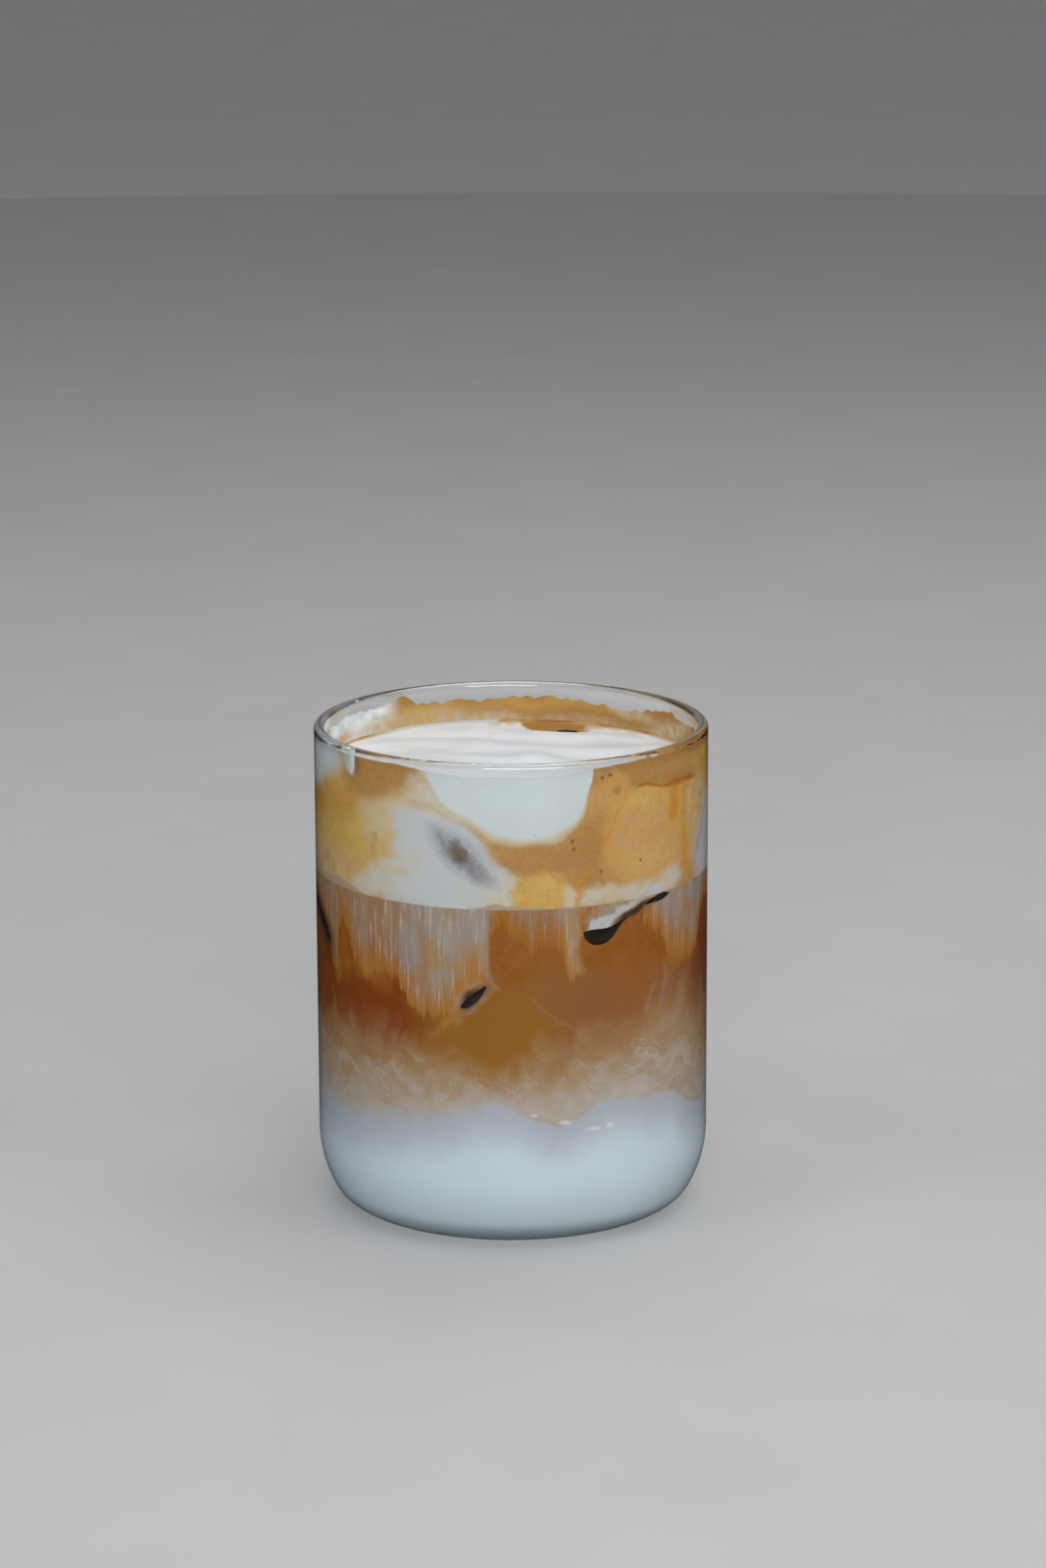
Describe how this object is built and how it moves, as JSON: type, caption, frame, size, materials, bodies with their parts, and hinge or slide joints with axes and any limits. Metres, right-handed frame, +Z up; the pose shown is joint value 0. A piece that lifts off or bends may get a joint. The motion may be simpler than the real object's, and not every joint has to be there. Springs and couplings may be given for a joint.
{
  "type": "iced layered latte",
  "caption": "Iced latte in a straight clear tumbler: milk, coffee and foam lie in layers one above the other, with room to the rim.",
  "frame": {"origin": "centre of the underside of the glass's base, on the table", "axes": "+Z up along the axis of the glass, -Y towards the front"},
  "size_m": [0.08, 0.08, 0.1],
  "materials": {
    "glass": "clear and polished",
    "milk": "cold milk, smooth and opaque",
    "coffee": "milky coffee with ice, wet against the glass",
    "foam": "wet milk foam with caramel-coloured crema"
  },
  "bodies": {
    "root": {"glass": "glass", "milk": "milk", "coffee": "coffee", "foam": "foam"}
  },
  "joints": []
}
